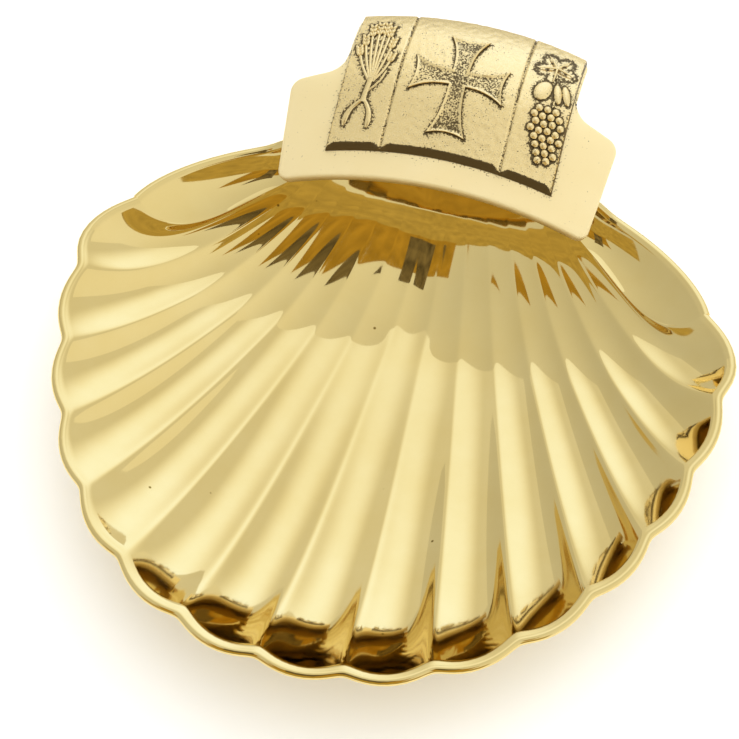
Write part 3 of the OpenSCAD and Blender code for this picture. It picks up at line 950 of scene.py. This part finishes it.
bmesh.ops.translate(bm, vec=LEAF_CENTRE, verts=bm.verts)
for centre, length, width, turn in BUDS:
    bead(bm, Vector((*centre, 0)), (length, width, BUD_HEIGHT), math.radians(turn), detail=3)
stem = bent(STEM_FOOT, STEM_TOP, -0.5)
bar(bm, stem, [STEM_RADIUS]*len(stem))
bmesh.ops.holes_fill(bm, edges=bm.edges, sides=0)
seat_carving(bm, "vine_leaf", LEAF_SHADE)

# %% [markdown]
# The panel is a fine grid, drawn out to a closed plaque, whose top is moved up to the ground of the
# relief. It steps up from the plate in a bevelled ledge, two grooves part its three fields, and a
# little noise leaves the unevenness of the sand mould.

# %% Ground of the panel
FIELD_WIDTH = 22.0
GROOVE_WIDTH = 0.5
GROOVE_DEPTH = 0.3
LEDGE = 1.2
LEDGE_START = 0.3
LEDGE_GROWTH = 1.6
SIDE_SLOPE = 0.35
MOULD_ROUGHNESS = 0.05
MOULD_GRAIN = 1.1
CELL = 0.22


def ledge_width(x):
    """The ledge is narrow at the corners of each field and full width along its middle."""
    corner = min(abs(abs(x) - FIELD_WIDTH/2), PANEL_HALF - abs(x))
    return LEDGE_START + (LEDGE - LEDGE_START)*ease(corner/LEDGE_GROWTH)


def panel_height(x, y):
    low, end = panel_edges(x)
    step_up = min(1, (y - low)/ledge_width(x), (PANEL_HALF - abs(x))/SIDE_SLOPE, (end - y)/SIDE_SLOPE)
    groove = max(0, 1 - (2*(abs(x) - FIELD_WIDTH/2)/GROOVE_WIDTH)**2)
    uneven = MOULD_ROUGHNESS*noise.noise(Vector((x, y, 0))/MOULD_GRAIN)
    return max(FILM, FILM + (GROUND - FILM)*max(0, step_up) - GROOVE_DEPTH*groove + uneven*max(0, step_up))


columns = round(2*PANEL_HALF/CELL)
rows = round((PANEL_END + TONGUE_BOW - PANEL_LOW)/CELL)


def panel_place(column, row):
    x = PANEL_HALF*(2*column/columns - 1)
    low, end = panel_edges(x)
    return x, low + (end - low)*row/rows, FILM


bm = wrap_sheet(columns, rows, panel_place)
print("panel grid", columns, "by", rows)

# %% Shelter on the panel, and its bend
HALO = 0.32
GROOVE_HALO = 0.25
EDGE_HALO = 0.3
LEDGE_HALO = 0.12
LEDGE_SHADE = 0.95
GROOVE_SHADE = 0.42

near = kdtree.KDTree(len(carved))
for index, point in enumerate(carved):
    near.insert((point.x, point.y, 0), index)
near.balance()


def shelter(x, y):
    """1 where polish never reaches: beside the carving, in the grooves and on the ledge."""
    carving = near.find((x, y, 0))[2]
    groove = abs(abs(x) - FIELD_WIDTH/2)
    side = PANEL_HALF - abs(x)
    ledge = max(0, y - panel_edges(x)[0] - ledge_width(x))
    return max(
        math.exp(-carving/HALO),
        GROOVE_SHADE*math.exp(-(groove/GROOVE_HALO)**2),
        math.exp(-side/EDGE_HALO),
        LEDGE_SHADE*math.exp(-ledge/LEDGE_HALO),
    )


drawn = bmesh.ops.extrude_face_region(bm, geom=bm.faces[:], use_keep_orig=True)
for vertex in drawn["geom"]:
    if isinstance(vertex, bmesh.types.BMVert):
        vertex.co.z = panel_height(vertex.co.x, vertex.co.y)
hollow = bm.verts.layers.float.new("hollow")
for vertex in bm.verts:
    vertex[hollow] = shelter(vertex.co.x, vertex.co.y)
    vertex.co = on_plate(vertex.co)
make_piece(bm, "relief_ground", antiqued, "relief_panel", crease=50)

# %% [markdown]
# The joint is hidden from above, but anyone who turns the shell over sees it: a hollow fillet of brazing
# metal along the back of the rim. A grid is wrapped round its section, as for the bowl.

# %% Brazed joint
BRAZE_LEG = 2.0
LIP_SHOULDER = 0.25*LIP_WIDTH
SEAM_STEPS = 60
FILLET_STEPS = 6
FILLET_FULLNESS = 0.4
RIPPLE = 0.12
RIPPLES = 40


def seam_section(u):
    p = inside(u, 1)
    way = lip_way(p)
    low = [p + out*way + Vector((0, 0, LIP_HEIGHT)) for out in (LIP_SHOULDER, LIP_WIDTH - LIP_SHOULDER)]
    tip = p + (LIP_WIDTH + BRAZE_LEG)*way
    tip.z = plate_under(tip.x, tip.y) - FILM
    back = low[0].copy()
    back.z = plate_under(back.x, back.y) - FILM
    elbow = Vector((low[1].x, low[1].y, tip.z)).lerp(low[1].lerp(tip, 0.5), FILLET_FULLNESS)
    ripple = RIPPLE*noise.noise(Vector((RIPPLES*u, 0, 0)))
    fillet = []
    for step in range(1, FILLET_STEPS):
        s = step/FILLET_STEPS
        hollow_point = (1 - s)**2*low[1] + 2*s*(1 - s)*elbow + s*s*tip
        fillet.append(hollow_point + ripple*math.sin(math.pi*s)*way)
    return [low[0], low[1]] + fillet + [tip, back, low[0]]


seam_half = WING_WIDTH/2 - BRAZE_LEG
run = [LAST_NOTCH + step/SEAM_STEPS for step in range(SEAM_STEPS + 1)]
run = [u for u in run if rim_point(u).y > 0 and abs(rim_point(u).x) < seam_half]
run = run + [-u for u in reversed(run[:-1])]
sections = [seam_section(u) for u in run]
bm = wrap_sheet(len(sections) - 1, len(sections[0]) - 1, lambda column, row: sections[column][row])
bmesh.ops.remove_doubles(bm, verts=bm.verts, dist=MERGE_MM)
bmesh.ops.holes_fill(bm, edges=bm.edges, sides=0)
make_piece(bm, "brazed_joint", braze, "braze_seam")

# %% [markdown]
# The stage is a sheet of white paper in a pale room. Polished metal shows the room more than itself, so
# what it mirrors is built too. Behind the shell is a wide softbox, bright in the middle and fading to both
# ends, over a grey table. In front are the dark camera on its stand, an amber screen and a curtain. They
# are cards that only reflections see, so they don't change the light.

# %% Paper floor
FIBRE_MM = 3
PAPER_GLOW = 0.16
PAPER_DROP = -0.05*MM


def white_paper():
    finish, tree = new_finish("matt_white_paper")
    place = put(tree, "ShaderNodeTexCoord").outputs["Object"]
    fibre = put(tree, "ShaderNodeTexNoise", {"Vector": place, "Scale": 1/(FIBRE_MM*MM)}).outputs["Fac"]
    tint = put(tree, "ShaderNodeMix", {"Factor": fibre, "A": linear("#F6F6F4"), "B": linear("#FAFAF9")},
               data_type="RGBA")
    paper = put(tree, "ShaderNodeBsdfDiffuse", {"Color": tint.outputs["Result"]})
    rays = put(tree, "ShaderNodeLightPath")
    seen = put(tree, "ShaderNodeMath", {0: rays.outputs["Is Camera Ray"], 1: rays.outputs["Is Glossy Ray"]},
               operation="MAXIMUM")
    seen = put(tree, "ShaderNodeMath", {0: seen.outputs[0], 1: rays.outputs["Is Transmission Ray"]},
               operation="MAXIMUM")
    glow = put(tree, "ShaderNodeMath", {0: seen.outputs[0], 1: PAPER_GLOW}, operation="MULTIPLY")
    white = put(tree, "ShaderNodeEmission", {"Strength": glow.outputs[0]})
    both = put(tree, "ShaderNodeAddShader", {0: paper.outputs[0], 1: white.outputs[0]})
    put(tree, "ShaderNodeOutputMaterial", {"Surface": both.outputs[0]})
    return finish


bm = bmesh.new()
bmesh.ops.create_grid(bm, x_segments=1, y_segments=1, size=4)
mesh = bpy.data.meshes.new("paper_floor")
bm.to_mesh(mesh)
bm.free()
floor = bpy.data.objects.new("paper_floor", mesh)
floor.location.z = PAPER_DROP
mesh.materials.append(white_paper())
scene.collection.objects.link(floor)
print("floor is", round(floor.dimensions.x, 1), "m wide")

# %% Cards that reflections see
def direction(azimuth, elevation):
    """Unit vector from the shell: azimuth 0 is behind it and grows to the right, in degrees."""
    turn, lift = math.radians(azimuth), math.radians(elevation)
    return Vector((math.sin(turn)*math.cos(lift), math.cos(turn)*math.cos(lift), math.sin(lift)))


def stand_card(name, centre, width, height, finish, back=None):
    """A card that faces the shell, or lies with its back to a given way, and shows only in reflections."""
    bm = bmesh.new()
    bmesh.ops.create_grid(bm, x_segments=1, y_segments=1, size=0.5)
    bmesh.ops.scale(bm, vec=(width, height, 1), verts=bm.verts)
    mesh = bpy.data.meshes.new(name)
    bm.to_mesh(mesh)
    bm.free()
    mesh.materials.append(finish)
    card = bpy.data.objects.new(name, mesh)
    card.location = centre
    card.rotation_euler = (back or centre).to_track_quat("Z", "Y").to_euler()
    for rays in ("camera", "diffuse", "transmission", "volume_scatter", "shadow"):
        setattr(card, "visible_" + rays, False)
    scene.collection.objects.link(card)


print("straight behind the shell is", direction(0, 0))

# %% Cloth of the cards
# A window on the right makes that side of the room brighter
ROOM_LEFT = 0.6
ROOM_RIGHT = 1.0
ROOM_LEVEL = (ROOM_LEFT + ROOM_RIGHT)/2
ROOM_COLOUR = "#FFFEFA"
SOFTBOX_COLOUR = "#D6E3FF"
SOFTBOX_AZIMUTH = 4
SOFTBOX_ELEVATION = 38.5
SOFTBOX_DISTANCE = 1.2
SOFTBOX_WIDTH = 2.6
SOFTBOX_HEIGHT = 1.3
SOFTBOX_TOP = 1.25
SOFTBOX_FOOT = 1.8
FADE_START = 0.05
FADE_END = 0.85
FOLD_SIZE = 1/6
FOLD_LOW = 0.3
FOLD_HIGH = 0.7


def softbox_cloth():
    """White cloth lit from below, that fades to the level of the room towards both its ends."""
    finish, tree = new_finish("softbox_cloth")
    place = put(tree, "ShaderNodeTexCoord").outputs["Object"]
    place = put(tree, "ShaderNodeSeparateXYZ", {"Vector": place})
    lit = put(tree, "ShaderNodeMapRange",
              {"Value": place.outputs["Y"], "From Min": -SOFTBOX_HEIGHT/2, "From Max": SOFTBOX_HEIGHT/2,
               "To Min": SOFTBOX_FOOT, "To Max": SOFTBOX_TOP})
    off_centre = put(tree, "ShaderNodeMath", {0: place.outputs["X"]}, operation="ABSOLUTE")
    level = put(tree, "ShaderNodeMapRange",
                {"Value": off_centre.outputs[0], "From Min": FADE_START, "From Max": FADE_END,
                 "To Min": lit.outputs["Result"], "To Max": ROOM_LEVEL}, interpolation_type="SMOOTHSTEP")
    cool = put(tree, "ShaderNodeMapRange", {"Value": level.outputs["Result"], "From Min": ROOM_LEVEL,
                                            "From Max": SOFTBOX_FOOT})
    colour = put(tree, "ShaderNodeMix", {"Factor": cool.outputs["Result"], "A": linear(ROOM_COLOUR),
                                         "B": linear(SOFTBOX_COLOUR)}, data_type="RGBA")
    cloth = put(tree, "ShaderNodeEmission",
                {"Color": colour.outputs["Result"], "Strength": level.outputs["Result"]})
    put(tree, "ShaderNodeOutputMaterial", {"Surface": cloth.outputs[0]})
    return finish


def plain_cloth(name, low, high, colour):
    """Cloth whose soft folds run from a low to a high level."""
    finish, tree = new_finish(name)
    place = put(tree, "ShaderNodeTexCoord").outputs["Object"]
    fold = put(tree, "ShaderNodeTexNoise", {"Vector": place, "Scale": 1/FOLD_SIZE}).outputs["Fac"]
    shade = put(tree, "ShaderNodeMapRange", {"Value": fold, "From Min": FOLD_LOW,
                                             "From Max": FOLD_HIGH, "To Min": low, "To Max": high})
    cloth = put(tree, "ShaderNodeEmission", {"Color": linear(colour), "Strength": shade.outputs["Result"]})
    put(tree, "ShaderNodeOutputMaterial", {"Surface": cloth.outputs[0]})
    return finish


print("the softbox is", round(SOFTBOX_FOOT/ROOM_LEVEL, 2), "times as bright as the room")

# %% Stand the cards
CAMERA_CARD_SIZE = (0.3, 0.48)
SCREEN_SIZE = (0.75, 0.4)
CURTAIN_SIZE = (2.6, 0.9)
TABLE_SIZE = (2.6, 1.2)
DOWN = Vector((0, 0, -1))

softbox_place = SOFTBOX_DISTANCE*direction(SOFTBOX_AZIMUTH, SOFTBOX_ELEVATION)
camera_card_place = 0.8*direction(-174, 68)
screen_place = 0.84*direction(180, 62)
curtain_place = 1.1*direction(180, 28)
table_place = Vector((0, 0.72, 0.001))

camera_cloth = plain_cloth("camera_cloth", 0.08, 0.32, "#E6CC98")
screen_cloth = plain_cloth("screen_cloth", 0.42, 0.68, "#E4B548")
curtain_cloth = plain_cloth("amber_cloth", 0.5, 0.7, "#EBCB73")
table_cloth = plain_cloth("grey_cloth", 0.45, 0.55, "#FFFCF0")

stand_card("softbox_front", softbox_place, SOFTBOX_WIDTH, SOFTBOX_HEIGHT, softbox_cloth())
stand_card("camera_stand", camera_card_place, *CAMERA_CARD_SIZE, camera_cloth)
stand_card("amber_screen", screen_place, *SCREEN_SIZE, screen_cloth)
stand_card("amber_curtain", curtain_place, *CURTAIN_SIZE, curtain_cloth)
stand_card("table_behind", table_place, *TABLE_SIZE, table_cloth, DOWN)
print("the softbox stands", SOFTBOX_DISTANCE, "m from the shell")

# %% Lamps and room light
SOFTBOX_POWER = 10
SOFTBOX_LAMP_WIDTH = 3.0
TOP_POWER = 4.1
TOP_SIZE = 1.2
TOP_PLACE = Vector((0, -0.1, 1.2))


def hang_lamp(name, place, width, height, energy):
    """A soft lamp that faces the shell. Metal shows the cards instead, so reflections skip the lamp."""
    lamp = bpy.data.objects.new(name, bpy.data.lights.new(name, "AREA"))
    lamp.data.shape = "RECTANGLE"
    lamp.data.size = width
    lamp.data.size_y = height
    lamp.data.energy = energy
    lamp.location = place
    lamp.rotation_euler = place.to_track_quat("Z", "Y").to_euler()
    lamp.visible_glossy = False
    scene.collection.objects.link(lamp)


hang_lamp("softbox_lamp", softbox_place, SOFTBOX_LAMP_WIDTH, SOFTBOX_HEIGHT, SOFTBOX_POWER)
hang_lamp("top_lamp", TOP_PLACE, TOP_SIZE, TOP_SIZE, TOP_POWER)
room = bpy.data.worlds.new("pale_room")
room.use_nodes = True
tree = room.node_tree
tree.nodes.clear()
way = put(tree, "ShaderNodeTexCoord").outputs["Generated"]
way = put(tree, "ShaderNodeSeparateXYZ", {"Vector": way})
level = put(tree, "ShaderNodeMapRange", {"Value": way.outputs["X"], "From Min": -1, "To Min": ROOM_LEFT,
                                         "To Max": ROOM_RIGHT})
light = put(tree, "ShaderNodeBackground",
            {"Color": linear(ROOM_COLOUR), "Strength": level.outputs["Result"]})
put(tree, "ShaderNodeOutputWorld", {"Surface": light.outputs[0]})
scene.world = room
scene.view_settings.view_transform = "Standard"
print("lit by two lamps and", room.name)
